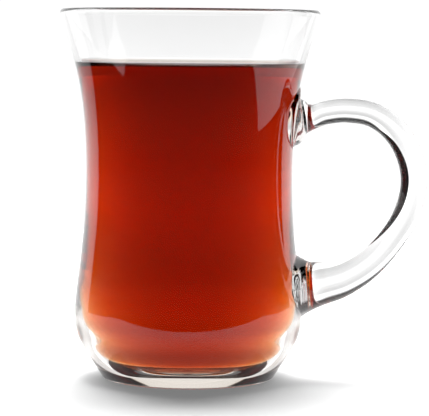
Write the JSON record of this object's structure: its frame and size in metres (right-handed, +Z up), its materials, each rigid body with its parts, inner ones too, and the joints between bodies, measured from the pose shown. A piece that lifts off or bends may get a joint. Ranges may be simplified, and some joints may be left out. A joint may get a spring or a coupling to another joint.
{
  "type": "handled tea glass with tea",
  "caption": "Tulip-shaped clear glass with a fused loop handle and a thick foot, filled with black tea to below its flared rim.",
  "frame": {"origin": "centre of the foot's flat underside, on the glass's own axis", "axes": "+Z up along the glass's axis, +X towards the handle, +Y across the handle's plane"},
  "size_m": [0.09, 0.0636, 0.09],
  "materials": {
    "clear_glass": "polished clear pressed glass",
    "black_tea": "clear red-brown liquid with a mirror-smooth surface"
  },
  "bodies": {
    "root": {"glass": "clear_glass", "tea": "black_tea"}
  },
  "joints": []
}
